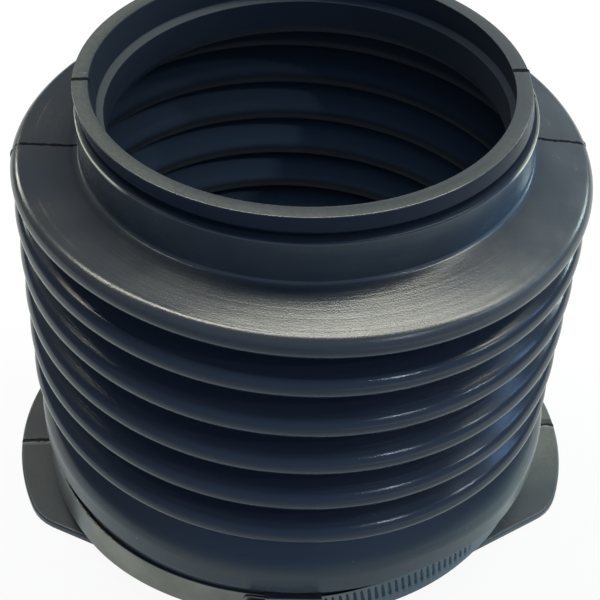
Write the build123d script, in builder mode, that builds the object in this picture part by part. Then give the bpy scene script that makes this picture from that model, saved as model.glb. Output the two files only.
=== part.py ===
from build123d import *
from math import acos, atan2, cos, degrees, hypot, radians, sin, tan
import os

# Rubber bellows boot with the worm-drive hose clamp on its base.
# Millimetres, +Z up, origin at the centre of the base face on the axis of revolution.
# X runs through the two ears, which lie in the parting plane of the mould.

# Convolutions
crest_radius = 86.0
crest_count = 5           # full crests under the shoulder's own edge
pitch = 15.47
first_pitch = 14.4        # shoulder edge to the first full crest
depth = 9.0               # crest to valley, on the outside
crest_round = 3.6
valley_round = 2.2
wall = 2.4

# Collar and clamp seat, under the last valley
collar_inset = 0.8        # crests stand this much further out than the collar
collar_height = 10.4
collar_slope = 47.0       # degrees below level, from the last valley to the collar
collar_round = 8.0
collar_edge = 0.6
seat_inset = 2.3          # step from the collar in to the seat
seat_length = 16.3

# Base ring, flange and its two ears
bore_step = 3.6           # bore of the base, inside the bore at a valley
base_wall = 2.2
base_height = 9.5         # base face to the underside of the clamp seat
flange_lip = 0.9          # flange past the base ring, between the ears
flange_thickness = 3.0
ear_stand = 24.7          # tip of an ear past the round of the flange
ear_centre = 19.8         # centre of an ear's end arc, from the axis
ear_taper = 28.7          # degrees between an ear's side and X
ear_corner = 17.0
ear_edge = 0.8

# Shoulder and neck
shoulder_slope = 5.0      # degrees, falling outwards
neck_bore = 58.7
neck_bore_round = 4.0
neck_foot_round = 1.0
neck_length = 22.4        # shoulder root to the face of the mouth rim

# Mouth rim, clamp groove and lip
ledge_width = 1.9         # step from the neck's bore out to the mouth's
ledge_depth = 8.4         # rim face to the step
ledge_drop = 1.3
rim_wall = 4.7
rim_height = 5.0
rim_edge = 0.4
rim_round = 0.5
groove_depth = 2.7
groove_height = 2.8
lip_stand = 0.3           # lip and neck foot, past the rim
foot_stand = 0.5
lip_round = 1.0

# Hose clamp
band_width = 12.0
band_thickness = 0.9
band_clearance = 0.1      # rubber to band, and band to its own lapped end
band_below_collar = 4.0
housing_angle = -93.7     # degrees round the axis to the middle of the housing
housing_length = 17.4
housing_wall = 1.0
housing_clearance = 0.35
housing_foot = 2.4        # straight sides of the housing, over the band
tail_length = 15.5        # free end of the band, past the middle of the housing
tail_corner = 2.5
worm_radius = 3.6
worm_clearance = 0.3
head_collar_radius = 4.1
head_collar_height = 0.9
head_width = 7.0          # across flats
head_height = 5.0
slot_width = 1.2
slot_depth = 1.6


def flank(spacing):
    """Slope of the straight flank between two crests, tangent to crest and valley rounds."""
    across = depth - crest_round - valley_round
    reach = hypot(spacing / 2, across)
    return acos((crest_round + valley_round) / reach) - atan2(across, spacing / 2)


# Radii, from the crests in and from the neck's bore out
crest_center = crest_radius - crest_round
valley_center = crest_radius - depth + valley_round
collar_radius = crest_radius - collar_inset
seat_radius = collar_radius - seat_inset
base_bore = crest_radius - depth - wall - bore_step
base_radius = base_bore + base_wall
flange_radius = base_radius + flange_lip
mouth_bore = neck_bore + ledge_width
rim_radius = mouth_bore + rim_wall
groove_radius = rim_radius - groove_depth
lip_radius = rim_radius + lip_stand
foot_radius = rim_radius + foot_stand

# Heights, from the base face up
collar_bottom = base_height + seat_length
collar_top = collar_bottom + collar_height
slope = radians(collar_slope)
collar_run = collar_radius - valley_center + valley_round * sin(slope)
last_valley = collar_top + collar_run * tan(slope) + valley_round * cos(slope)
shoulder_crest = last_valley + pitch / 2 + (crest_count - 1) * pitch + first_pitch
fall = radians(shoulder_slope)
shoulder_root = (shoulder_crest + crest_round / cos(fall)
                 + (crest_center - foot_radius) * tan(fall))
mouth_height = shoulder_root + neck_length

spacings = [first_pitch] + [pitch] * crest_count
crests = [shoulder_crest - sum(spacings[:i]) for i in range(crest_count + 1)]


def skin(crest_r, valley_r, last_slope):
    """One side of the convoluted wall, from the shoulder edge down to the last valley."""
    start, joint, above = None, None, shoulder_slope
    for height, spacing in zip(crests, spacings):
        tilt = degrees(flank(spacing))
        below = last_slope if height == crests[-1] else tilt
        crest = CenterArc((crest_center, height), crest_r, 90 - above, above + tilt - 180)
        valley = CenterArc((valley_center, height - spacing / 2), valley_r,
                           90 + tilt, 180 - tilt - below)
        Line(crest @ 1, valley @ 0)
        if joint:
            Line(joint, crest @ 0)
        start, joint, above = start or crest @ 0, valley @ 1, tilt
    return start, joint


# Bellows: one moulding, revolved, on a flange with two ears
taper = radians(ear_taper)
touch = (flange_radius * sin(taper), flange_radius * cos(taper))
with BuildPart() as bellows:
    with BuildSketch() as ear:
        Polygon((0, 0), (touch[0], -touch[1]), (flange_radius / sin(taper), 0), touch, align=None)
        with Locations((ear_centre, 0)):
            Circle(flange_radius + ear_stand - ear_centre, mode=Mode.INTERSECT)
        fillet(ear.vertices().sort_by(Axis.X)[-2:], ear_corner)
        mirror(about=Plane.YZ)
        Circle(flange_radius)
    extrude(amount=flange_thickness)
    fillet(bellows.edges().filter_by(Plane.XY), ear_edge)
    with BuildSketch(Plane.XZ) as section:
        with BuildLine():
            outer_start, outer_end = skin(crest_round, valley_round, collar_slope)
            inner_start, inner_end = skin(crest_round - wall, valley_round + wall, 90)
            groove_top = mouth_height - rim_height
            groove_foot = groove_top - groove_height
            Polyline(
                outer_start,
                (foot_radius, shoulder_root),
                (lip_radius, groove_foot),
                (groove_radius, groove_foot),
                (groove_radius, groove_top),
                (rim_radius, groove_top),
                (rim_radius, mouth_height),
                (mouth_bore, mouth_height),
                (mouth_bore, mouth_height - ledge_depth),
                (neck_bore, mouth_height - ledge_depth - ledge_drop),
                (neck_bore, inner_start.Y + (inner_start.X - neck_bore) * tan(fall)),
                inner_start,
            )
            Polyline(
                outer_end,
                (collar_radius, collar_top),
                (collar_radius, collar_bottom),
                (seat_radius, collar_bottom),
                (seat_radius, base_height),
                (base_radius, base_height),
                (base_radius, 0),
                (base_bore, 0),
                (base_bore, collar_bottom),
                (inner_end.X, collar_bottom + inner_end.X - base_bore),
                inner_end,
            )
        make_face()

        def corner(radius, height):
            """Vertex of the section nearest to a radius and a height."""
            return section.vertices().sort_by_distance((radius, height, 0))[0]

        fillet(corner(foot_radius, shoulder_root), neck_foot_round)
        fillet(corner(neck_bore, shoulder_root - wall), neck_bore_round)
        fillet(corner(lip_radius, groove_foot), lip_round)
        fillet([corner(rim_radius, groove_top), corner(groove_radius, groove_foot)], rim_round)
        fillet(corner(rim_radius, mouth_height), rim_edge)
        fillet(corner(collar_radius, collar_top), collar_round)
        fillet(corner(collar_radius, collar_bottom), collar_edge)
    revolve(axis=Axis.Z)
    with BuildSketch():
        Circle(base_bore)
    extrude(amount=base_height, mode=Mode.SUBTRACT)
bellows.part.label = "bellows"

# Clamp band: one strip round the seat, its free end lapped over the start
band_bore = seat_radius + band_clearance
band_radius = band_bore + band_thickness
lap_radius = band_radius + band_thickness
band_bottom = collar_bottom - band_below_collar - band_width
lap_end = housing_angle - degrees(tail_length / lap_radius)
lap_angle = degrees((tail_length + housing_length / 4) / lap_radius)
with BuildPart() as clamp_band:
    with BuildSketch(Plane.XY.offset(band_bottom)):
        Circle(band_radius)
        Circle(band_bore, mode=Mode.SUBTRACT)
    extrude(amount=band_width)
    with BuildSketch(Plane.XY.offset(band_bottom)):
        with BuildLine():
            under = CenterArc((0, 0), band_radius, lap_end, lap_angle)
            over = CenterArc((0, 0), lap_radius, lap_end, lap_angle)
            Line(under @ 0, over @ 0)
            Line(under @ 1, over @ 1)
        make_face()
    extrude(amount=band_width)
    lap_corners = clamp_band.edges().filter_by(lambda edge: abs(edge.length - band_thickness) < 0.01)
    fillet(lap_corners, tail_corner)
clamp_band.part.label = "clamp_band"

# Clamp housing: a pressed arch over the worm, its feet down both edges of the band
worm_offset = lap_radius + worm_clearance + worm_radius
arch_radius = worm_radius + housing_clearance
foot_width = band_width + 2 * housing_clearance
turn = radians(housing_angle)
along = Vector(-sin(turn), cos(turn), 0)
clamp_plane = Plane(origin=(0, 0, band_bottom + band_width / 2), x_dir=(cos(turn), sin(turn), 0),
                    z_dir=along)
with BuildPart() as clamp_housing:
    with BuildSketch(clamp_plane):
        with Locations((worm_offset, 0)):
            Circle(arch_radius + housing_wall)
        with Locations((band_bore, 0)):
            Rectangle(housing_foot, foot_width + 2 * housing_wall, align=(Align.MIN, Align.CENTER))
        make_hull()
    extrude(amount=housing_length / 2, both=True)
    with BuildSketch(clamp_plane.offset(housing_length / 2 - housing_wall)):
        with Locations((worm_offset, 0)):
            Circle(arch_radius)
        with Locations((band_bore, 0)):
            Rectangle(housing_foot, foot_width, align=(Align.MIN, Align.CENTER))
        make_hull()
    extrude(amount=-housing_length, mode=Mode.SUBTRACT)
    with BuildSketch(clamp_plane):
        with Locations((band_bore, 0)):
            Rectangle(housing_foot, foot_width, align=(Align.MIN, Align.CENTER))
    extrude(amount=housing_length, both=True, mode=Mode.SUBTRACT)
clamp_housing.part.label = "clamp_housing"

# Clamp screw: worm, bearing collar and slotted hexagon head
worm_length = housing_length - housing_wall - housing_clearance
head_plane = clamp_plane.offset(-housing_length / 2 - housing_clearance)
with BuildPart() as clamp_screw:
    with BuildSketch(head_plane):
        with Locations((worm_offset, 0)):
            Circle(worm_radius)
    extrude(amount=worm_length)
    with BuildSketch(head_plane):
        with Locations((worm_offset, 0)):
            Circle(head_collar_radius)
    extrude(amount=-head_collar_height)
    with BuildSketch(head_plane.offset(-head_collar_height)):
        with Locations((worm_offset, 0)):
            RegularPolygon(head_width / 2, 6, major_radius=False)
    extrude(amount=-head_height)
    with BuildSketch(head_plane.offset(-head_collar_height - head_height)):
        with Locations((worm_offset, 0)):
            Rectangle(slot_width, 2 * head_width)
    extrude(amount=slot_depth, mode=Mode.SUBTRACT)
clamp_screw.part.label = "clamp_screw"

os.makedirs("parts", exist_ok=True)
for piece in (bellows, clamp_band, clamp_housing, clamp_screw):
    export_step(piece.part, f"parts/{piece.part.label}.step")
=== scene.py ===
from math import acos, atan2, cos, degrees, hypot, pi, radians, sin, tan

import bmesh
import bpy
from mathutils import Matrix, Vector


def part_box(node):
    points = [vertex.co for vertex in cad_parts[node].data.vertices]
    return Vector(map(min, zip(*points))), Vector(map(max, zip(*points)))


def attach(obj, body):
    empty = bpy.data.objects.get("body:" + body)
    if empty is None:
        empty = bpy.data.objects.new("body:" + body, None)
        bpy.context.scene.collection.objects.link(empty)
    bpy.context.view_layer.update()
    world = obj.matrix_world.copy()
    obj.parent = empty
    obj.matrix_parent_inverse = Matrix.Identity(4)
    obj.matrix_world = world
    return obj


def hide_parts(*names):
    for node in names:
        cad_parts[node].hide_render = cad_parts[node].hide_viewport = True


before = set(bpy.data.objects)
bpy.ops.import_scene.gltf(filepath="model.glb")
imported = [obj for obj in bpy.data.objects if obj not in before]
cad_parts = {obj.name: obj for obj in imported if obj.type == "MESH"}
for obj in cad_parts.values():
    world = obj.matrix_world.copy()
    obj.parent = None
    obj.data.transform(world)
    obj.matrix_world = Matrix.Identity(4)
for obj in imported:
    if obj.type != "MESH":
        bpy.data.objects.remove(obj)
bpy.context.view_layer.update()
scene = bpy.context.scene
scene.view_settings.view_transform = "Standard"
MM = 0.001

# Rubber bellows boot with its hose clamp. The moulding and the band are meshes of the soft and
# settled boot that the photograph shows, in place of the straight solids. The clamp's housing and
# screw stay CAD. A pair of limits goes from where something begins to where it is full.

# ---------------------------------------------------------------- sizes, millimetres
mouth_rise = 1.15         # the CAD mouth is as high as the leaning rim's high side
mouth_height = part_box("bellows")[1][2] / MM - mouth_rise
band_bottom, band_top = (corner[2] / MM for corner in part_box("clamp_band"))

# Convolutions
crest_radius = 86.0
crest_count = 5           # full crests under the shoulder's own edge
pitch = 15.47
first_pitch = 14.4        # shoulder edge to the first full crest
depth = 9.0               # crest to valley, on the outside
crest_round = 3.6
valley_round = 2.2
wall = 2.4

# Collar, clamp seat and base ring
collar_radius = 85.2
collar_bottom = 25.8
collar_height = 10.4
collar_slope = 47.0       # degrees below level, from the last valley to the collar
collar_round = 8.0
collar_edge = 0.6
seat_radius = 82.9
seat_edge = 0.4
base_bore = 71.0
base_bore_round = 1.0
base_radius = 73.2
base_height = 9.5
inward_corner = 0.2       # round of the corners under collar, seat and rim

# Flange and its two ears
flange_radius = 74.1
flange_thickness = 3.0
ear_reach = {"right": 98.8, "left": 96.0}
ear_turn = {"right": radians(-1.5), "left": radians(-0.6)}
ear_side = {"right": 75.0, "left": 73.1}  # distance of the straight sides from the axis
ear_end_radius = 78.0
ear_taper = radians(28.7)
ear_corner = 17.0
ear_edge = 0.8
ear_start = (1.4, 1.1)    # radians from X, where the flange's round passes into an ear's side

# Shoulder, neck and mouth rim
shoulder_slope = 8.0      # degrees, falling outwards
neck_bore = 58.7
neck_bore_round = 4.0
neck_length = 20.6        # shoulder root to the face of the mouth rim
foot_radius = 66.5
foot_round = 1.0
mouth_bore = 60.6
mouth_edge = 0.35
ledge_depth = 8.4         # rim face to the step in the bore
ledge_drop = 1.3
ledge_foot_round = 0.3
rim_radius = 65.3
rim_height = 5.0
rim_edge = 0.4
rim_round = 0.5           # under the rim, at the groove's foot and at the ledge
groove_radius = 62.6
groove_height = 2.1
lip_radius = 66.7
lip_round = 0.6

# Hose clamp
band_clearance = 0.1
band_thickness = 0.9
band_edge = 0.25
housing_angle = -93.7     # degrees round the axis to the middle of the housing
housing_length = 17.4
tail_length = 15.5        # free end of the band, past the middle of the housing
tail_corner = 2.5
tail_tip = 0.02           # how far in the tail's first section is taken, so that it has a height
slot_pitch = 2.3          # worm slots pressed in the band
slot_depth = 0.5
slot_slant = 0.16         # sideways run of a slot per millimetre of height
slot_reach = (-4.0, 5.2)  # heights of its ends, from the band's middle
slot_runout = (3.0, 0.8)  # length over which its lower and its upper end fade
slot_land = 0.2           # share of the pitch's wave left flat at the slots' lower ends
slot_narrowing = 0.55     # and how much more is left at their upper ends
slot_flank = 0.3          # share over which a slot's side falls
slot_angles = (-88.5, -50.0)
slot_ease = 0.6           # degrees over which the row of slots begins and ends

# How the band sits, along the view's own right: pulled up on the right until it meets the collar
band_slant = 0.045        # rise to the right, per millimetre
band_level_at = -8.0      # where it is as high as the solid
band_most = 3.6           # highest rise, on the untilted body
band_least = -2.3
housing_at = 5.0          # it stays level round the housing
housing_level = (6.0, 25.0)
band_stand = 0.35         # on the left it stands off the seat, its lower edge most
band_flare = 0.06
band_stand_at = (-20.0, -60.0)

# Flash: the ridge left where the two halves of the mould meet
flash_height = 0.35
flash_width = 1.1
flash_flat = 0.25         # half the width of its top

# The soft neck leans on the shoulder, and the body leans a little the other way.
# These are measured with the view's own left and right, view_turn from the ears.
view_turn = radians(-6.8)
foot_shift = 0.26
rim_shift = -1.85
foot_tilt = radians(1.7)
rim_tilt = radians(0.95)
neck_front_rise = 0.25
neck_lean_at = (83.0, 67.0)   # radii over which the shoulder takes on the neck's lean
body_shift = -0.45
body_tilt = radians(-1.0)
tilt_lost = 0.85          # share of the body's tilt that is gone at the shoulder
shoulder_twist = 2.0e-4   # saddle of the shoulder, per millimetre
shoulder_droop = 1.5
droop_angle = radians(168)
collar_bulge = 2.3        # the collar is pushed out on the right
bulge_under = 0.4         # how far under the collar the bulge begins
bulge_begins = (-62.0, -35.0)  # degrees from the view's right
bulge_ends = (60.0, 20.0)

# Fineness of the meshes
columns = 240             # of the moulding, evenly round the axis
seam_columns = 4          # and more to each side of a parting line
seam_step = 0.2           # degrees
outer_steps = 12          # in a crest of the outer skin
inner_steps = 7
band_step = 1.5           # degrees
slot_step = 0.2
band_rows = 26            # over the height of the band's outer face
tail_sections = 40
crease = radians(40)      # a steeper edge is drawn sharp
near = 1.0                # margin for telling one face of the section from the next

# Worked out from the sizes
collar_top = collar_bottom + collar_height
groove_top = mouth_height - rim_height
groove_foot = groove_top - groove_height
ledge_top = mouth_height - ledge_depth
shoulder_root = mouth_height - neck_length
fall = radians(shoulder_slope)
crest_center = crest_radius - crest_round
valley_center = crest_radius - depth + valley_round
shoulder_crest = shoulder_root - crest_round / cos(fall) - (crest_center - foot_radius) * tan(fall)
spacings = [first_pitch] + [pitch] * crest_count
crests = [shoulder_crest - sum(spacings[:i]) for i in range(crest_count + 1)]
band_middle = (band_bottom + band_top) / 2
band_half = (band_top - band_bottom) / 2
band_bore = seat_radius + band_clearance
band_radius = band_bore + band_thickness
to_view = Matrix.Rotation(-view_turn, 3, "Z")
from_view = Matrix.Rotation(view_turn, 3, "Z")


# ---------------------------------------------------------------- mesh helpers
def smoothstep(low, high, value):
    t = min(1.0, max(0.0, (value - low) / (high - low)))
    return t * t * (3 - 2 * t)


def arc(center, radius, start, sweep, steps):
    """Points on an arc, angles in degrees."""
    angles = [radians(start + sweep * i / steps) for i in range(steps + 1)]
    return [(center[0] + radius * cos(a), center[1] + radius * sin(a)) for a in angles]


def rounded(corners, steps=4, hold=0.25):
    """Polyline whose corners (x, y, radius) are arcs, with a point a hold away from their ends."""
    points = []
    for i, (x, y, radius) in enumerate(corners):
        here = Vector((x, y))
        if radius == 0 or i in (0, len(corners) - 1):
            points.append((x, y))
            continue
        before = (Vector(corners[i - 1][:2]) - here).normalized()
        after = (Vector(corners[i + 1][:2]) - here).normalized()
        half = before.angle(after) / 2
        center = here + (before + after).normalized() * radius / sin(half)
        reach = radius / tan(half)
        points.append(tuple(here + before * (reach + hold)))
        first = here + before * reach - center
        last = here + after * reach - center
        sweep = first.angle_signed(last)
        for k in range(steps + 1):
            turn = Matrix.Rotation(-sweep * k / steps, 2)
            points.append(tuple(center + turn @ first))
        points.append(tuple(here + after * (reach + hold)))
    return points


def grid_piece(name, rows, closed):
    """Mesh piece from rows of points, millimetres. The points of a row close on themselves,
    and so do the rows when asked."""
    count = len(rows[0])
    points = [tuple(Vector(p) * MM) for row in rows for p in row]
    faces = []
    for i in range(len(rows) if closed else len(rows) - 1):
        j = (i + 1) % len(rows)
        for k in range(count):
            m = (k + 1) % count
            faces.append((i * count + k, j * count + k, j * count + m, i * count + m))
    mesh = bpy.data.meshes.new(name)
    mesh.from_pydata(points, [], faces)
    mesh.validate()
    mesh.shade_smooth()
    mesh.set_sharp_from_angle(angle=crease)
    piece = bpy.data.objects.new(name, mesh)
    scene.collection.objects.link(piece)
    return piece


# ---------------------------------------------------------------- bellows
def flank(spacing):
    """Slope of the straight flank between two crests."""
    across = depth - crest_round - valley_round
    reach = hypot(spacing / 2, across)
    return acos((crest_round + valley_round) / reach) - atan2(across, spacing / 2)


def skin(crest_r, valley_r, last_slope, steps):
    """One side of the convoluted wall, from the shoulder edge down to the last valley."""
    points, above = [], shoulder_slope
    for i, (height, spacing) in enumerate(zip(crests, spacings)):
        tilt = degrees(flank(spacing))
        below = last_slope if i == crest_count else tilt
        points += arc((crest_center, height), crest_r, 90 - above, above + tilt - 180, steps)
        points += arc((valley_center, height - spacing / 2), valley_r, 90 + tilt,
                      180 - tilt - below, steps - 2)
        above = tilt
    return points


def bellows_section():
    """Closed section of the moulding inside the flange, (radius, height) points: from the edge of
    the shoulder down the outside, and from the bore up the inside and over the rim."""
    outer = skin(crest_round, valley_round, collar_slope, outer_steps)
    inner = skin(crest_round - wall, valley_round + wall, 90, inner_steps)
    ceiling = inner[0][1] + (inner[0][0] - neck_bore) * tan(fall)
    seat = rounded([
        outer[-1] + (0,),
        (collar_radius, collar_top, collar_round),
        (collar_radius, collar_bottom, collar_edge),
        (seat_radius, collar_bottom, inward_corner),
        (seat_radius, base_height, seat_edge),
        (base_radius, base_height, inward_corner),
        (base_radius, flange_thickness, 0),
    ], steps=5)[1:]
    bore = rounded([
        (base_bore, 0, 0),
        (base_bore, collar_bottom, base_bore_round),
        (inner[-1][0], collar_bottom + inner[-1][0] - base_bore, base_bore_round),
        inner[-1] + (0,),
    ])[:-1]
    neck = rounded([
        inner[0] + (0,),
        (neck_bore, ceiling, neck_bore_round),
        (neck_bore, ledge_top - ledge_drop, ledge_foot_round),
        (mouth_bore, ledge_top, rim_round),
        (mouth_bore, mouth_height, mouth_edge),
        (rim_radius, mouth_height, rim_edge),
        (rim_radius, groove_top, rim_round),
        (groove_radius, groove_top, inward_corner),
        (groove_radius, groove_foot, rim_round),
        (lip_radius, groove_foot, lip_round),
        (foot_radius, shoulder_root, foot_round),
        outer[0] + (0,),
    ])[1:-1]
    return outer + seat, bore + inner[::-1] + neck


def ear_outline(angle):
    """Distance from the axis to the flange's edge, by angle round the axis."""
    hand = "right" if cos(angle) > 0 else "left"
    reach, flat = ear_reach[hand], ear_side[hand]
    angle -= ear_turn[hand]
    x, y = abs(cos(angle)), abs(sin(angle))
    polar = atan2(y, x)
    if polar > pi / 2 - ear_taper:
        return flange_radius + (flat - flange_radius) * smoothstep(*ear_start, polar)
    # the corner's arc touches the straight side and the arc of the ear's end
    end = reach - ear_end_radius
    inset = flat - ear_corner
    near_end = ear_end_radius - ear_corner
    a = end * sin(ear_taper) - inset
    b = (near_end ** 2 - a ** 2) ** 0.5
    cx = end - a * sin(ear_taper) + b * cos(ear_taper)
    cy = -a * cos(ear_taper) - b * sin(ear_taper)
    touch_side = atan2(cy + ear_corner * cos(ear_taper), cx + ear_corner * sin(ear_taper))
    out = Vector((cx - end, cy)).normalized() * ear_end_radius
    touch_tip = atan2(out.y, end + out.x)
    if polar > touch_side:
        return flat / (x * sin(ear_taper) + y * cos(ear_taper))
    if polar < touch_tip:
        return end * x + (ear_end_radius ** 2 - (end * y) ** 2) ** 0.5
    along, across = cx * x + cy * y, cx * y - cy * x
    return along + (ear_corner ** 2 - across ** 2) ** 0.5


def flange_section(reach):
    """The flange from the base ring out to its edge and back to the bore."""
    return rounded([
        (base_radius, flange_thickness, 0),
        (reach, flange_thickness, ear_edge),
        (reach, 0, ear_edge),
        (base_bore, 0, 0),
    ])


def lean(point):
    """Moves a point of the straight moulding to where the soft one has settled."""
    x, y, z = to_view @ Vector(point)
    radius, angle = hypot(x, y), atan2(y, x)
    # the body's tilt, and the sag of its shoulder
    body = smoothstep(flange_thickness, collar_bottom, z)
    tilt = body_tilt * body * (1 - tilt_lost * smoothstep(crests[1], shoulder_root, z))
    shift = body_shift * body
    rise = x * tan(tilt)
    top = smoothstep(crests[1], shoulder_crest - crest_round, z)
    droop = shoulder_droop * max(0.0, cos(angle - droop_angle)) ** 4
    rise += top * (shoulder_twist * x * y - droop)
    # the collar's bulge on the right
    low = (smoothstep(collar_bottom - bulge_under, collar_bottom, z)
           * smoothstep(crests[-1], collar_top, z))
    bulge = collar_bulge * low * smoothstep(*bulge_begins, degrees(angle))
    out = 1 + bulge * smoothstep(*bulge_ends, degrees(angle)) / radius
    # the neck's own tilt and shift, over those of the body
    if z > shoulder_crest - crest_round:
        neck = smoothstep(*neck_lean_at, radius)
        up = min(1.0, max(0.0, (z - shoulder_root) / neck_length))
        turned = foot_tilt + (rim_tilt - foot_tilt) * up
        moved = foot_shift + (rim_shift - foot_shift) * up ** 3
        shift += (moved - body_shift) * neck
        rise += neck * (x * tan(turned) - y * neck_front_rise / rim_radius - rise)
    return from_view @ Vector((x * out + shift, y * out, z + rise))


def flash(angle, radius):
    """Height of the mould's flash at an angle round the axis."""
    across = abs(sin(angle)) * radius
    return flash_height * (1 - smoothstep(flash_flat, flash_width / 2, across))


def make_bellows():
    outer, inner = bellows_section()
    even = [2 * pi * i / columns for i in range(columns)]
    at_seams = [side + radians(seam_step * k) for side in (0, pi)
                for k in range(-seam_columns, seam_columns + 1)]
    rows = []
    for angle in sorted(set(round(a % (2 * pi), 6) for a in even + at_seams)):
        section = outer + flange_section(ear_outline(angle))[1:-1] + inner
        row = []
        for i, (radius, height) in enumerate(section):
            # the flash is on the outside and on the flange, but not on the soft shoulder and neck
            on_neck = height > shoulder_root - near and radius > groove_radius - near
            outside = i < len(outer) or on_neck
            soft = shoulder_crest + 2 * near < height < groove_top
            on_flange = not outside and height > near and radius > base_radius
            reach = radius + (flash(angle, radius) if outside and not soft else 0)
            up = flash(angle, radius) if on_flange else 0
            row.append(lean((reach * cos(angle), reach * sin(angle), height + up)))
        rows.append(row)
    piece = grid_piece("bellows_moulding", rows, closed=True)
    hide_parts("bellows")
    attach(piece, "root")
    return piece


# ---------------------------------------------------------------- clamp band
def band_lean(point):
    """Moves a point of the level band to where it sits."""
    x, y, z = to_view @ Vector(point)
    stand = band_stand + band_flare * (band_top - z)
    out = 1 + stand * smoothstep(*band_stand_at, x) / seat_radius
    tilted = smoothstep(*housing_level, abs(x - housing_at)) if y < 0 else 1.0
    x, y = x * out, y * out
    rise = min(band_slant * (x - band_level_at), band_most + x * tan(body_tilt))
    return from_view @ Vector((x, y, z + tilted * max(band_least, rise)))


def slot(along, height):
    """Depth of the worm slots at a place on the band, measured from its middle line."""
    low, high = slot_reach
    low_runout, high_runout = slot_runout
    up = min(1.0, max(0.0, (height - low) / (high - low)))
    wave = 0.5 + 0.5 * cos(2 * pi * (along + slot_slant * height) / slot_pitch)
    land = slot_land + slot_narrowing * up
    ends = (smoothstep(high, high - high_runout, height)
            * smoothstep(low, low + low_runout, height))
    return slot_depth * smoothstep(land, land + slot_flank, wave) * ends


def strip_section(bore, half):
    """Closed section of the strip: (radius, height from its middle) points, outer face first."""
    out, flat = bore + band_thickness, half - band_edge
    face = [(out, -flat + 2 * flat * k / band_rows) for k in range(band_rows + 1)]
    return (face + arc((out - band_edge, flat), band_edge, 0, 90, 3)[1:]
            + arc((bore + band_edge, flat), band_edge, 90, 90, 3)
            + arc((bore + band_edge, -flat), band_edge, 180, 90, 3)
            + arc((out - band_edge, -flat), band_edge, 270, 90, 3)[:-1])


def make_band():
    first, last = slot_angles
    coarse = [-180 + band_step * k for k in range(round(360 / band_step))]
    fine = [first + slot_step * k for k in range(round((last - first) / slot_step) + 1)]
    rows = []
    for turn in sorted([a for a in coarse if not first < a < last] + fine):
        angle = radians(turn)
        pressed = (smoothstep(first, first + slot_ease, turn)
                   * smoothstep(last, last - slot_ease, turn))
        row = []
        for i, (r, h) in enumerate(strip_section(band_bore, band_half)):
            if i <= band_rows:
                r -= pressed * slot(angle * band_radius, h)
            row.append(band_lean((r * cos(angle), r * sin(angle), band_middle + h)))
        rows.append(row)
    ring = grid_piece("clamp_strip", rows, closed=True)
    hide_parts("clamp_band")
    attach(ring, "root")
    return ring


def make_tail():
    """The band's free end, lapped over its start on the screw's side."""
    length = tail_length + housing_length / 4
    lap_radius = band_radius + band_thickness
    start = radians(housing_angle) - tail_length / lap_radius
    rows = []
    for k in range(tail_sections):
        along = length * k / (tail_sections - 1)
        cut = max(0.0, tail_corner - along - tail_tip)
        half = band_half - tail_corner + (tail_corner ** 2 - cut ** 2) ** 0.5
        angle = start + along / lap_radius
        rows.append([band_lean((r * cos(angle), r * sin(angle), band_middle + h))
                     for r, h in strip_section(band_radius, half)])
    tail = grid_piece("clamp_tail", rows, closed=False)
    count = len(rows[0])
    shell = bmesh.new()
    shell.from_mesh(tail.data)
    shell.verts.ensure_lookup_table()
    for end in (shell.verts[:count], shell.verts[-count:][::-1]):
        shell.faces.new(end)
    bmesh.ops.recalc_face_normals(shell, faces=shell.faces)
    shell.to_mesh(tail.data)
    shell.free()
    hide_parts("clamp_band")
    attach(tail, "root")
    return tail


# ---------------------------------------------------------------- node trees
class Graph:
    """A node tree with short ways to add nodes. An input is a number, a colour or an output."""

    def __init__(self, tree):
        self.tree = tree
        tree.nodes.clear()

    def add(self, kind, index_inputs=(), **inputs):
        node = self.tree.nodes.new(kind)
        for key, value in list(enumerate(index_inputs)) + list(inputs.items()):
            socket = node.inputs[key if isinstance(key, int) else key.replace("_", " ")]
            self.feed(socket, value)
        return node

    def feed(self, socket, value):
        if isinstance(value, bpy.types.NodeSocket):
            self.tree.links.new(value, socket)
        elif value is not None:
            socket.default_value = value

    def math(self, operation, *values):
        node = self.add("ShaderNodeMath", values)
        node.operation = operation
        return node.outputs[0]

    def chain(self, operation, values):
        result = values[0]
        for value in values[1:]:
            result = self.math(operation, result, value)
        return result

    def product(self, *values):
        return self.chain("MULTIPLY", values)

    def total(self, *values):
        return self.chain("ADD", values)

    def most(self, *values):
        return self.chain("MAXIMUM", values)

    def minus(self, value, other):
        return self.math("SUBTRACT", value, other)

    def rest(self, share):
        return self.minus(1.0, share)

    def apart(self, value, place):
        """Distance of a value from a place."""
        return self.math("ABSOLUTE", self.minus(value, place))

    def ramp(self, value, low, high, start=0.0, end=1.0):
        node = self.add("ShaderNodeMapRange", (value, low, high, start, end))
        node.interpolation_type = "SMOOTHSTEP"
        return node.outputs[0]

    def between(self, value, start, full, ebb, end):
        """Share that rises from start to full and falls again from ebb to end."""
        return self.product(self.ramp(value, start, full), self.ramp(value, end, ebb))

    def mix(self, factor, first, second):
        node = self.add("ShaderNodeMix")
        node.data_type = "RGBA"
        for name, value in (("Factor_Float", factor), ("A_Color", first), ("B_Color", second)):
            self.feed(next(s for s in node.inputs if s.identifier == name), value)
        return next(s for s in node.outputs if s.identifier == "Result_Color")

    def noise(self, vector, scale, detail=3.0, roughness=0.5):
        node = self.add("ShaderNodeTexNoise", Vector=vector, Scale=scale, Detail=detail,
                        Roughness=roughness)
        return node.outputs["Fac"]

    def vector(self, x, y, z):
        return self.add("ShaderNodeCombineXYZ", (x, y, z)).outputs[0]

    def parts(self, vector):
        return self.add("ShaderNodeSeparateXYZ", (vector,)).outputs

    def bump(self, height, distance, strength, normal=None):
        return self.add("ShaderNodeBump", Height=height, Distance=distance, Strength=strength,
                        Normal=normal).outputs[0]


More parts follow.
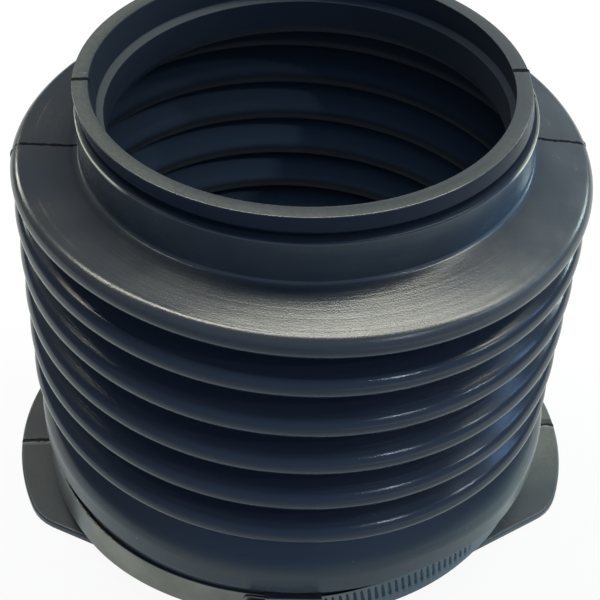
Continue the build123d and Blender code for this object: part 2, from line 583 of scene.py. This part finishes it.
class Shader(Graph):
    """A material: its place on the object in metres, and x, y, z and radius in millimetres."""

    def __init__(self, name):
        self.material = bpy.data.materials.new(name)
        self.material.use_nodes = True
        super().__init__(self.material.node_tree)
        self.place = self.add("ShaderNodeTexCoord").outputs["Object"]
        self.surface = self.add("ShaderNodeBsdfPrincipled")
        self.end = self.add("ShaderNodeOutputMaterial", Surface=self.surface.outputs[0])
        self.x, self.y, self.z = (self.product(part, 1 / MM) for part in self.parts(self.place))
        self.radius = self.math("SQRT", self.total(self.product(self.x, self.x),
                                                   self.product(self.y, self.y)))
        self.angle = self.math("ARCTAN2", self.y, self.x)

    def set(self, **inputs):
        for key, value in inputs.items():
            self.feed(self.surface.inputs[key.replace("_", " ")], value)

    def turned(self, across, along):
        """Noise drawn out round the axis, scaled per millimetre across and per radian along."""
        place = self.vector(self.product(self.radius, across), self.product(self.z, across),
                            self.product(self.angle, along))
        return self.noise(place, 1.0, 3.0, 0.6)


def wear(piece, shader):
    piece.data.materials.clear()
    piece.data.materials.append(shader.material)


# ---------------------------------------------------------------- rubber
# bare rubber, also mixed in as painted shade in the groove, on the rim's outer wall and at the
# ears' front
bare_and_shade_color = (0.020, 0.027, 0.042, 1)
# painted light on the bore's upward-facing surfaces, deep under the shoulder
bore_light_color = (0.09, 0.125, 0.175, 1)
neck_inside_color = (0.019, 0.025, 0.036, 1)
film_color = (0.030, 0.033, 0.037, 1)
# the film made paler by painted light on the right
right_lit_film_color = (0.065, 0.073, 0.080, 1)
# painted light on the neck's left side
left_neck_light_color = (0.055, 0.062, 0.068, 1)
# painted bluish reflection on the neck's right side
right_neck_reflection_color = (0.05, 0.10, 0.16, 1)
collar_color = (0.042, 0.05, 0.056, 1)
# painted reflection of the floor on the collar's right side
right_collar_reflection_color = (0.075, 0.10, 0.10, 1)
rim_color = (0.085, 0.09, 0.085, 1)
# painted highlight on the ledge in the bore
ledge_highlight_color = (0.06, 0.065, 0.07, 1)
ear_color = (0.030, 0.030, 0.032, 1)
right_ear_color = (0.15, 0.15, 0.13, 1)
# painted highlight in front of the ears' parting line
ear_ridge_highlight_color = (0.2, 0.21, 0.2, 1)
scuff_color = (0.25, 0.25, 0.24, 1)
# painted highlight on the lip's edge
lip_glint_paint_color = (1.0, 1.0, 0.82, 1)
seam_color = (0.002, 0.002, 0.003, 1)

# Limits of the looks, millimetres where nothing else is said
facing_in = (-0.05, -0.3)     # share of the normal that points away from the axis
facing_out = (0.6, 0.9)
facing_up = (0.7, 0.95)       # height of the normal
half_up = (0.3, 0.6)
groove_up = (0.3, 0.7)
bore_up = (-0.1, 0.45)
patches = (0.3, 0.7)          # of the cloudy noise
wide_patches = (0.25, 0.8)    # of its roughness
mottling = (0.35, 0.65)       # of the fine noise
collar_blend = 4.0
shoulder_blend = 2.0
film_lit_right = (20.0, 75.0)     # x over which painted light makes the film paler
# x over which the painted reflection on the collar begins and is full
collar_reflection_right = (20.0, 70.0)
neck_skin = (69.0, 67.0)      # radii
neck_under_rim = 1.5
# painted light in the bore grows over these depths
bore_depth = (2.0, 75.0)      # under the shoulder's root
rim_dust_depth = (3.0, 2.0)   # under the mouth's face
ledge_highlight_depth = (14.0, 13.0)
ear_top = (9.0, 6.0)
ear_right = (-50.0, 50.0)
ear_shade = (-5.0, -45.0)     # y over which painted shade darkens the ears to the front
ear_ridge_shadow = (0.4, 0.8, 2.6, 3.2)        # painted shadow behind the ears' parting line
ear_ridge_highlight = (-2.2, -1.6, -0.8, -0.5)    # and painted highlight in front of it
lip_edge = groove_foot - 0.4
lip_edge_half = (0.7, 0.4)
lip_edge_depth = (1.2, 0.9)   # in from the lip's own radius
lip_tilt = foot_tilt + (rim_tilt - foot_tilt) * 0.65
lip_glint = (0.85, 1.0, 1.75, 1.9)      # radians to each side of the front
scuff_radius = 80.5
scuff_half = (1.6, 0.2)
seam_half = (0.4, 0.8)        # from full to nothing
seam_wobble = 1.4
seam_on_rim = 0.3             # how much wider the line is to each side on the rim
seam_from = (61.5, 62.5)      # radii, so that it stays out of the bore
# how far the line is from the plane of the ears, at the shoulder's edge and at the neck's foot
seam_drift = {"left": (1.1, -1.5), "right": (-2.2, -5.5)}
seam_hands = 10.0             # x to each side of the axis where one drift passes into the other
groove_dark = (-5.0, -4.0, -0.4, 0.2)   # painted shade in the groove, heights from the groove's top
foot_heights = (12.0, 5.0)    # over the shoulder's root
foot_skin = (70.5, 68.5)      # radii
foot_left = (-30.0, -50.0)

# Scales of the noises, per metre, and of those drawn out round the axis, per millimetre across
# and per radian along
cloud_scale = 38.0
mottle_scale = 900.0
grain_scale = 2200.0
speck_scale = 520.0
wobble_scale = 700.0
ring_scales = (0.9, 0.15)
streak_scales = (0.33, 0.35)

# How strong the looks are
film_patches = (0.6, 1.0)     # share of the film where the cloudy noise is low and high
rim_dust_and_highlight = (0.35, 1.0)        # at the mouth's edge and at the rim's outer edge, where the rise is a painted highlight
rim_mottle = (0.7, 1.0)
ledge_highlight = 0.8
ear_patches = (0.45, 1.0)
ear_mottle = (0.55, 1.0)
ear_shade_most = 0.85
ear_ridge_highlight_most = 0.6
scuff_most = 0.5
scuff_streaks = (0.5, 0.75)
scuff_clouds = (0.45, 0.65)
speck_noise = (0.80, 0.84)
seam_most = 0.9
seam_matt = 0.85
# strengths of the painted shade in the groove and on the rim's outer wall
groove_shade = 0.8
rim_shade = 0.85
foot_matt = 0.8
film_rough = (0.17, 0.24)     # roughness without and with the film
inside_rough = 0.42           # and what is added to it
ear_rough = 0.15
glint_rough = -0.08
cloud_rough = (-0.03, 0.05)
ring_rough = 0.1
streak_rough = 0.09
glint_metal = 0.35
gloss = (0.5, 0.12)           # specular level outside and in the bore
ring_bump = 0.00008           # metres
grain_bump = 0.00006


def find_places(s):
    """Shares of the rubber that have a look of their own, kept on its shader."""
    nx, ny, nz = s.parts(s.add("ShaderNodeNewGeometry").outputs["Normal"])
    outward = s.math("DIVIDE", s.total(s.product(s.x, nx), s.product(s.y, ny)), s.radius)
    level = s.ramp(nz, *facing_up)
    s.inside = s.ramp(outward, *facing_in)
    s.collar = s.ramp(s.z, collar_top + collar_blend, collar_top)
    s.shoulder = s.ramp(s.z, shoulder_crest - shoulder_blend, shoulder_crest + shoulder_blend)
    s.neck = s.product(s.ramp(s.radius, *neck_skin),
                       s.ramp(s.z, groove_top, groove_top - neck_under_rim))
    # painted light on the bore's upward-facing surfaces, growing with depth
    s.deep = s.product(s.ramp(s.z, *(shoulder_root - d for d in bore_depth)), s.ramp(nz, *bore_up))
    s.rim_top = s.product(level, s.ramp(s.z, *(mouth_height - d for d in rim_dust_depth)))
    # the rim's outer wall, which gets painted shade
    s.rim_side = s.product(s.ramp(outward, *facing_out), s.ramp(s.z, groove_top - 1, groove_top))
    s.ledge = s.product(s.ramp(nz, *half_up), s.ramp(s.radius, mouth_bore + 1, mouth_bore),
                        s.ramp(s.z, *(mouth_height - d for d in ledge_highlight_depth)))
    # the groove, which gets painted shade
    s.groove = s.product(s.between(s.z, *(groove_top + h for h in groove_dark)),
                         s.ramp(nz, *groove_up))
    foot_z = s.minus(s.z, s.product(s.x, tan(foot_tilt)))
    s.foot = s.product(s.ramp(foot_z, *(shoulder_root + h for h in foot_heights)),
                       s.ramp(s.radius, *foot_skin), s.ramp(s.x, *foot_left), s.shoulder)
    s.ear = s.product(level, s.ramp(s.z, *ear_top))
    s.film = s.product(s.most(s.collar, s.shoulder), s.rest(s.inside),
                       s.ramp(s.cloud, *patches, *film_patches))


def film_tones(s):
    """A dull film on collar, shoulder and neck but not in the folds. Painted light makes it paler
    on the right and on the neck's left. A painted reflection lies on the neck's and collar's
    right. The bore is dull and dark, with painted light on its upward-facing surfaces deep down.
    """
    within = s.mix(s.deep, neck_inside_color, bore_light_color)
    right = s.mix(s.neck, right_lit_film_color, right_neck_reflection_color)
    left = s.mix(s.neck, film_color, left_neck_light_color)
    collar = s.mix(s.ramp(s.x, *collar_reflection_right), collar_color, right_collar_reflection_color)
    film = s.mix(s.collar, s.mix(s.ramp(s.x, *film_lit_right), left, right), collar)
    return s.mix(s.film, s.mix(s.inside, bare_and_shade_color, within), film)


def dust_and_painted_light(s, color):
    """Paler dust on the rim and the ears, the rim's rising to its outer edge as a painted
    highlight. The ledge gets a painted highlight, and the ears painted shade to the front and a
    painted shadow and highlight along the parting line.
    """
    on_rim = s.product(s.rim_top, s.ramp(s.radius, mouth_bore, rim_radius, *rim_dust_and_highlight),
                       s.ramp(s.mottle, *mottling, *rim_mottle))
    color = s.mix(on_rim, color, rim_color)
    color = s.mix(s.product(s.ledge, ledge_highlight), color, ledge_highlight_color)
    on_ear = s.product(s.ear, s.ramp(s.cloud, *patches, *ear_patches),
                       s.ramp(s.mottle, *mottling, *ear_mottle))
    ear_dust_and_shade = s.mix(s.ramp(s.x, *ear_right), ear_color, right_ear_color)
    # painted shade towards the ears' front
    ear_dust_and_shade = s.mix(s.ramp(s.y, *ear_shade, 0.0, ear_shade_most), ear_dust_and_shade, bare_and_shade_color)
    # painted shadow behind the parting line
    ear_dust_and_shade = s.mix(s.between(s.y, *ear_ridge_shadow), ear_dust_and_shade, film_color)
    # painted highlight in front of it
    light = s.product(s.between(s.y, *ear_ridge_highlight), ear_ridge_highlight_most)
    return s.mix(on_ear, color, s.mix(light, ear_dust_and_shade, ear_ridge_highlight_color))


def glinting(s):
    """Painted highlight along the lip's edge, to both sides of the front."""
    turn = s.apart(s.angle, -pi / 2)
    sideways = s.math("MINIMUM", turn, s.minus(2 * pi, turn))
    height = s.minus(s.z, s.product(s.x, tan(lip_tilt)))
    return s.product(s.ramp(s.apart(height, lip_edge), *lip_edge_half),
                     s.between(sideways, *lip_glint),
                     s.ramp(s.radius, *(lip_radius - d for d in lip_edge_depth)))


def scuffed(s):
    """Scuffs round the shoulder and a few pale specks."""
    scuff = s.product(s.ramp(s.apart(s.radius, scuff_radius), *scuff_half),
                      s.ramp(s.streaks, *scuff_streaks), s.shoulder,
                      s.ramp(s.cloud, *scuff_clouds))
    speck = s.product(s.ramp(s.noise(s.place, speck_scale, 1.0), *speck_noise), s.film)
    return s.most(scuff, speck)


def parting_line(s):
    """Thin dark line where the halves of the mould meet, on both sides of the axis. On the soft
    shoulder and neck it wanders from the plane of the ears."""
    wobble = s.product(s.minus(s.noise(s.place, wobble_scale, 2.0), 0.5), seam_wobble)
    inwards = s.ramp(s.radius, crest_radius, foot_radius)
    left, right = (s.total(at_edge, s.product(inwards, at_neck - at_edge))
                   for at_edge, at_neck in (seam_drift["left"], seam_drift["right"]))
    hand = s.ramp(s.x, -seam_hands, seam_hands)
    drift = s.total(s.product(left, s.rest(hand)), s.product(right, hand))
    soft = s.between(s.z, shoulder_crest - shoulder_blend, shoulder_crest,
                     groove_top - neck_under_rim, groove_top)
    off = s.math("ABSOLUTE", s.total(s.minus(s.y, s.product(soft, drift)), wobble))
    return s.product(s.ramp(s.minus(off, s.product(s.rim_top, seam_on_rim)), *seam_half, 1.0, 0.0),
                     s.most(s.rim_top, s.ramp(s.radius, *seam_from)))


def rubber():
    """Moulded black rubber: glossy where it is sheltered, dull where a grey film lies on it."""
    s = Shader("rubber")
    s.rings = s.turned(*ring_scales)
    s.streaks = s.turned(*streak_scales)
    s.cloud = s.noise(s.place, cloud_scale, 5.0, 0.6)
    s.mottle = s.noise(s.place, mottle_scale, 3.0, 0.65)
    grain = s.noise(s.place, grain_scale, 2.0, 0.5)
    find_places(s)
    glint, seam, bare = glinting(s), parting_line(s), s.rest(s.ear)

    color = dust_and_painted_light(s, film_tones(s))
    # scuffs and specks are wear and the seam a dark joint; the lip's glint is a painted highlight,
    # and the groove and the rim's outer wall get painted shade
    for share, most, tone in ((scuffed(s), scuff_most, scuff_color),
                              (glint, 1.0, lip_glint_paint_color),
                              (seam, seam_most, seam_color),
                              (s.groove, groove_shade, bare_and_shade_color),
                              (s.rim_side, rim_shade, bare_and_shade_color)):
        color = s.mix(s.product(share, most), color, tone)

    marks = s.total(s.product(s.minus(s.rings, 0.5), ring_rough),
                    s.product(s.minus(s.streaks, 0.5), streak_rough))
    rough = s.total(s.ramp(s.film, 0.0, 1.0, *film_rough), s.product(s.inside, inside_rough),
                    s.ramp(s.cloud, *wide_patches, *cloud_rough), s.product(marks, bare),
                    s.product(s.ear, ear_rough), s.product(glint, glint_rough))
    matt = s.most(s.product(seam, seam_matt), s.product(s.groove, groove_shade),
                  s.product(s.rim_side, rim_shade), s.product(s.foot, foot_matt))
    specular = s.product(s.rest(matt), s.ramp(s.inside, 0.0, 1.0, *gloss))
    grained = s.bump(grain, grain_bump, 0.5)
    s.set(Base_Color=color, Roughness=rough, Metallic=s.product(glint, glint_metal),
          Specular_IOR_Level=specular,
          Normal=s.bump(s.product(s.rings, bare), ring_bump, 0.5, grained))
    return s


# ---------------------------------------------------------------- steel
band_color = (0.30, 0.28, 0.235, 1)
housing_color = (0.5, 0.47, 0.48, 1)
screw_color = (0.42, 0.42, 0.44, 1)
strip_rough = 0.28            # roughness where the streaks add nothing
screw_rough = 0.31
strip_scales = (6.0, 4.0)     # of the streaks, per radian along and per millimetre across
smudge_scale = 60.0           # per metre
smudges = (0.3, 0.75)
smudge_shade = 0.72
dark_reflection_and_shade_color = (0.10, 0.14, 0.17, 1)
dark_reflection_right = (-10.0, 35.0)   # x over which the painted reflection begins and is full
# painted shade at the band's left end
shade_left = (-64.0, -76.0)
# painted shade in the worm slots
slot_shade_color = (0.03, 0.05, 0.07, 1)
slot_floor = (0.85, 0.6)      # radii over the seat's
slot_shade_at = (0.0, 2.0)
shade_left_most = 0.6
streak_rough_steel = 0.12
streak_bump = 0.00003         # metres


def steel(name, tint, roughness, shaded=False):
    """Rolled strip: fine streaks along the band and faint smudges."""
    s = Shader(name)
    along, across = strip_scales
    drawn = s.vector(s.product(s.angle, along), 0.0, s.product(s.z, across))
    streaks = s.noise(drawn, 1.0, 3.0, 0.6)
    smudge = s.noise(s.place, smudge_scale, 4.0, 0.55)
    dark = tuple(smudge_shade * c for c in tint[:3]) + (1,)
    color = s.mix(s.ramp(smudge, *smudges), dark, tint)
    if shaded:
        # a painted dark bluish reflection on the right and painted shade at the left end and,
        # darkest, in the worm slots
        color = s.mix(s.ramp(s.x, *dark_reflection_right), color, dark_reflection_and_shade_color)
        color = s.mix(s.ramp(s.x, *shade_left, 0.0, shade_left_most), color, dark_reflection_and_shade_color)
        slots = s.product(s.ramp(s.radius, *(seat_radius + d for d in slot_floor)),
                          s.ramp(s.x, *slot_shade_at))
        color = s.mix(slots, color, slot_shade_color)
    rough = s.total(roughness, s.product(streaks, streak_rough_steel))
    s.set(Base_Color=color, Metallic=1.0, Roughness=rough,
          Normal=s.bump(streaks, streak_bump, 0.4))
    return s


# ---------------------------------------------------------------- camera
unit = 65 * MM                # rim radius, the unit the view was solved in
elevation = radians(42.56)
roll = radians(3.41)
camera_distance = 6.53 * unit
camera_aside = 0.018 * unit
aim_under_mouth = 1.341 * unit
focal_pixels, picture_pixels = 1284.0, 600.0
sensor_width = 36.0


def make_camera():
    back = from_view @ Vector((0, -cos(elevation), sin(elevation)))
    side = from_view @ Vector((1, 0, 0))
    rise = back.cross(side)
    right = cos(roll) * side + sin(roll) * rise
    up = -sin(roll) * side + cos(roll) * rise
    aim = Vector((0, 0, mouth_height * MM - aim_under_mouth))
    pose = Matrix((right, up, back)).transposed().to_4x4()
    pose.translation = back * camera_distance + side * camera_aside + aim
    data = bpy.data.cameras.new("camera")
    data.lens = focal_pixels / picture_pixels * sensor_width
    data.sensor_width = sensor_width
    data.clip_start = 0.01
    camera = bpy.data.objects.new("camera", data)
    scene.collection.objects.link(camera)
    camera.matrix_world = pose
    scene.camera = camera


# ---------------------------------------------------------------- stage and light
white = (1, 1, 1, 1)
floor_half = 4                # metres
floor_color = (0.86, 0.87, 0.88, 1)
floor_front_color = (0.25, 0.27, 0.3, 1)
mirror_tint = (0.96, 1, 0.95, 1)        # of the sheet as the object mirrors it
mirror_front_tint = (0.72, 0.92, 1, 1)
floor_seen = 0.93             # share of white as the camera sees the sheet
floor_mirrored = (0.27, 0.85)           # and as it is mirrored, in front and behind
bright_behind = (-250.0, 150.0)         # y, millimetres, over which the sheet gets brighter
bright_right = (80.0, 400.0)            # and x
bright_right_most = 0.75
light_height = 0.1            # metres, the height that the lamps turn round and aim at

# the room's light by direction: (axis, sign, colour), no axis is from all round
room_lobes = [
    (None, 1, (0.05, 0.064, 0.088)),
    (1, -1, (0.22, 0.34, 0.54)),
    (0, 1, (0.18, 0.25, 0.32)),
    (0, -1, (0.08, 0.09, 0.09)),
    (2, 1, (0.03, 0.04, 0.05)),
]
# name, degrees from the view's right, degrees up, metres away, size, watts, colour
lamps = [
    ("key", 88, 75, 1.55, (2.4, 0.3), 38, (1, 0.99, 0.85)),
    ("window_front", -41, 45, 1.6, (0.04, 0.08), 2.0, (0.8, 0.9, 1)),
    ("window_side", -6, 40, 1.6, (0.04, 0.08), 1.5, (0.75, 0.9, 1)),
    ("window_blue", 14, 34, 1.6, (0.03, 0.3), 1.1, (0.3, 0.55, 1)),
    ("right_back", 38, 22, 1.6, (0.3, 0.15), 3, (0.8, 1, 1)),
    ("left_back", 138, 22, 1.6, (0.3, 0.15), 3, (1, 1, 0.85)),
]


def make_floor():
    """A sheet that glows white where it is seen, straight or mirrored. It is dimmer in front of
    the object, where the photographer stands."""
    mesh = bpy.data.meshes.new("floor")
    corners = [(i, j, 0) for i, j in ((-1, -1), (1, -1), (1, 1), (-1, 1))]
    mesh.from_pydata([floor_half * Vector(c) for c in corners], [], [(0, 1, 2, 3)])
    sheet = bpy.data.objects.new("floor", mesh)
    scene.collection.objects.link(sheet)
    s = Shader("floor_white")
    lit = s.most(s.ramp(s.y, *bright_behind), s.ramp(s.x, *bright_right, 0.0, bright_right_most))
    s.set(Base_Color=s.mix(lit, floor_front_color, floor_color), Roughness=0.9)
    path = s.add("ShaderNodeLightPath").outputs
    tint = s.mix(path["Is Camera Ray"], s.mix(lit, mirror_front_tint, mirror_tint), white)
    glow = s.add("ShaderNodeEmission", Strength=1.0, Color=tint)
    mirrored = s.most(path["Is Glossy Ray"], path["Is Transmission Ray"])
    seen = s.most(s.product(path["Is Camera Ray"], floor_seen),
                  s.product(mirrored, s.ramp(lit, 0.0, 1.0, *floor_mirrored)))
    mixed = s.add("ShaderNodeMixShader", (seen, s.surface.outputs[0], glow.outputs[0]))
    s.feed(s.end.inputs[0], mixed.outputs[0])
    mesh.materials.append(s.material)


def make_lamp(name, angle, height, distance, size, power, color):
    """Area lamp in the view's own directions: 0 degrees is to its right, -90 to the camera."""
    turn, lift = radians(angle) + view_turn, radians(height)
    aim = Vector((0, 0, light_height))
    away = Vector((cos(lift) * cos(turn), cos(lift) * sin(turn), sin(lift))) * distance
    data = bpy.data.lights.new(name, "AREA")
    data.shape = "RECTANGLE"
    data.size, data.size_y = size
    data.energy = power
    data.color = color
    lamp = bpy.data.objects.new(name, data)
    lamp.location = aim + away
    lamp.rotation_euler = (-away).to_track_quat("-Z", "Y").to_euler()
    scene.collection.objects.link(lamp)


def make_world():
    """White for the camera, and a bluish room for the light, brighter behind the camera."""
    world = bpy.data.worlds.new("world")
    scene.world = world
    world.use_nodes = True
    g = Graph(world.node_tree)
    directions = g.parts(g.add("ShaderNodeTexCoord").outputs["Generated"])
    room = None
    for axis, sign, color in room_lobes:
        strength = None
        if axis is not None:
            strength = g.product(directions[axis], sign)
            strength.node.use_clamp = True
        lobe = g.add("ShaderNodeBackground", Color=color + (1,), Strength=strength).outputs[0]
        room = lobe if room is None else g.add("ShaderNodeAddShader", (room, lobe)).outputs[0]
    seen = g.add("ShaderNodeBackground", Color=white).outputs[0]
    path = g.add("ShaderNodeLightPath").outputs
    mixed = g.add("ShaderNodeMixShader", (path["Is Camera Ray"], room, seen))
    g.add("ShaderNodeOutputWorld", (mixed.outputs[0],))


moulding = make_bellows()
strip, tail = make_band(), make_tail()
wear(moulding, rubber())
band_steel = steel("band_steel", band_color, strip_rough, shaded=True)
wear(strip, band_steel)
wear(tail, band_steel)
housing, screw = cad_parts["clamp_housing"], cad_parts["clamp_screw"]
wear(housing, steel("housing_steel", housing_color, strip_rough))
wear(screw, steel("screw_steel", screw_color, screw_rough))
make_camera()
make_floor()
for lamp in lamps:
    make_lamp(*lamp)
make_world()
